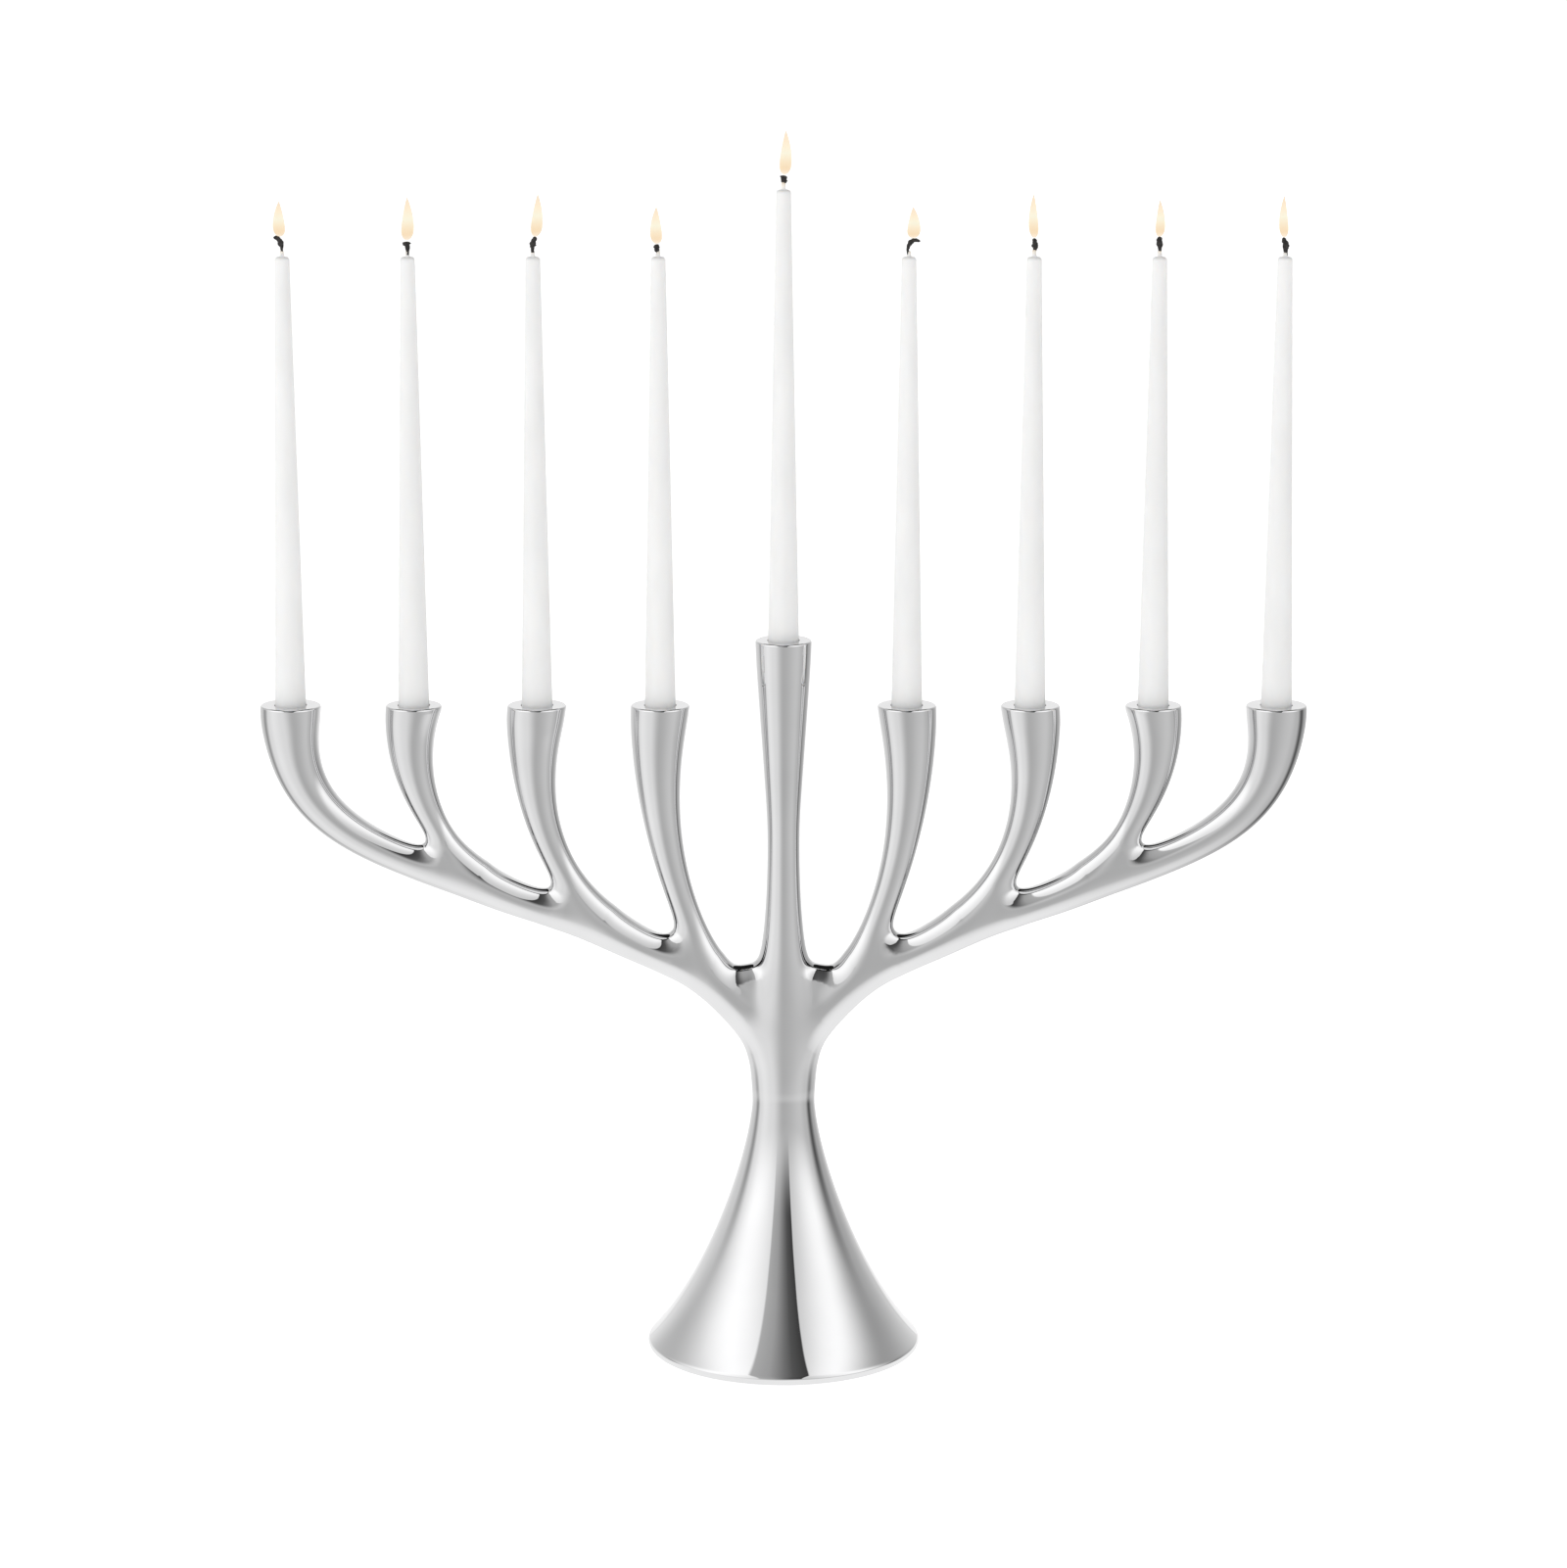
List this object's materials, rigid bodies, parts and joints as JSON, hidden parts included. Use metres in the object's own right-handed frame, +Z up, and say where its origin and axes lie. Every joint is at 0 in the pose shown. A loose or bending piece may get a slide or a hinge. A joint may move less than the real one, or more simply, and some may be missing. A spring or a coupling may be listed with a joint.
{
  "type": "nine-light menorah",
  "caption": "Polished steel menorah: two boughs with upright branches sweep out from a fork on a flared round foot, a taller centre shaft, and lift-out taper candles in round sockets.",
  "frame": {"origin": "on the table, at the middle of the foot's underside", "axes": "+Z up, +X along the row of candles, +Y away from the viewer; the candelabrum stands in the XZ plane"},
  "size_m": [0.412, 0.109, 0.4712],
  "materials": {
    "polished_steel": "polished",
    "plate_steel": "satin",
    "felt": "matte",
    "candle_wax": "satin",
    "wick_cotton": "matte"
  },
  "bodies": {
    "candelabrum": {"foot": "polished_steel", "trunk": "polished_steel", "centre_shaft": "polished_steel", "left_bough": "polished_steel", "left_outer_branch": "polished_steel", "left_middle_branch": "polished_steel", "left_inner_branch": "polished_steel", "right_bough": "polished_steel", "right_outer_branch": "polished_steel", "right_middle_branch": "polished_steel", "right_inner_branch": "polished_steel", "base_plate": "plate_steel", "felt_pad": "felt"},
    "left_4_candle": {"candle_left_4": "candle_wax", "wick_left_4": "wick_cotton"},
    "left_3_candle": {"candle_left_3": "candle_wax", "wick_left_3": "wick_cotton"},
    "left_2_candle": {"candle_left_2": "candle_wax", "wick_left_2": "wick_cotton"},
    "left_1_candle": {"candle_left_1": "candle_wax", "wick_left_1": "wick_cotton"},
    "centre_candle": {"candle_centre": "candle_wax", "wick_centre": "wick_cotton"},
    "right_1_candle": {"candle_right_1": "candle_wax", "wick_right_1": "wick_cotton"},
    "right_2_candle": {"candle_right_2": "candle_wax", "wick_right_2": "wick_cotton"},
    "right_3_candle": {"candle_right_3": "candle_wax", "wick_right_3": "wick_cotton"},
    "right_4_candle": {"candle_right_4": "candle_wax", "wick_right_4": "wick_cotton"}
  },
  "joints": [
    {"name": "left_4_candle_lift", "type": "slide", "parent": "candelabrum", "child": "left_4_candle", "axis": [0, 0, 1], "range_m": [0, 0.03]},
    {"name": "left_3_candle_lift", "type": "slide", "parent": "candelabrum", "child": "left_3_candle", "axis": [0, 0, 1], "range_m": [0, 0.03]},
    {"name": "left_2_candle_lift", "type": "slide", "parent": "candelabrum", "child": "left_2_candle", "axis": [0, 0, 1], "range_m": [0, 0.03]},
    {"name": "left_1_candle_lift", "type": "slide", "parent": "candelabrum", "child": "left_1_candle", "axis": [0, 0, 1], "range_m": [0, 0.03]},
    {"name": "centre_candle_lift", "type": "slide", "parent": "candelabrum", "child": "centre_candle", "axis": [0, 0, 1], "range_m": [0, 0.03]},
    {"name": "right_1_candle_lift", "type": "slide", "parent": "candelabrum", "child": "right_1_candle", "axis": [0, 0, 1], "range_m": [0, 0.03]},
    {"name": "right_2_candle_lift", "type": "slide", "parent": "candelabrum", "child": "right_2_candle", "axis": [0, 0, 1], "range_m": [0, 0.03]},
    {"name": "right_3_candle_lift", "type": "slide", "parent": "candelabrum", "child": "right_3_candle", "axis": [0, 0, 1], "range_m": [0, 0.03]},
    {"name": "right_4_candle_lift", "type": "slide", "parent": "candelabrum", "child": "right_4_candle", "axis": [0, 0, 1], "range_m": [0, 0.03]}
  ]
}
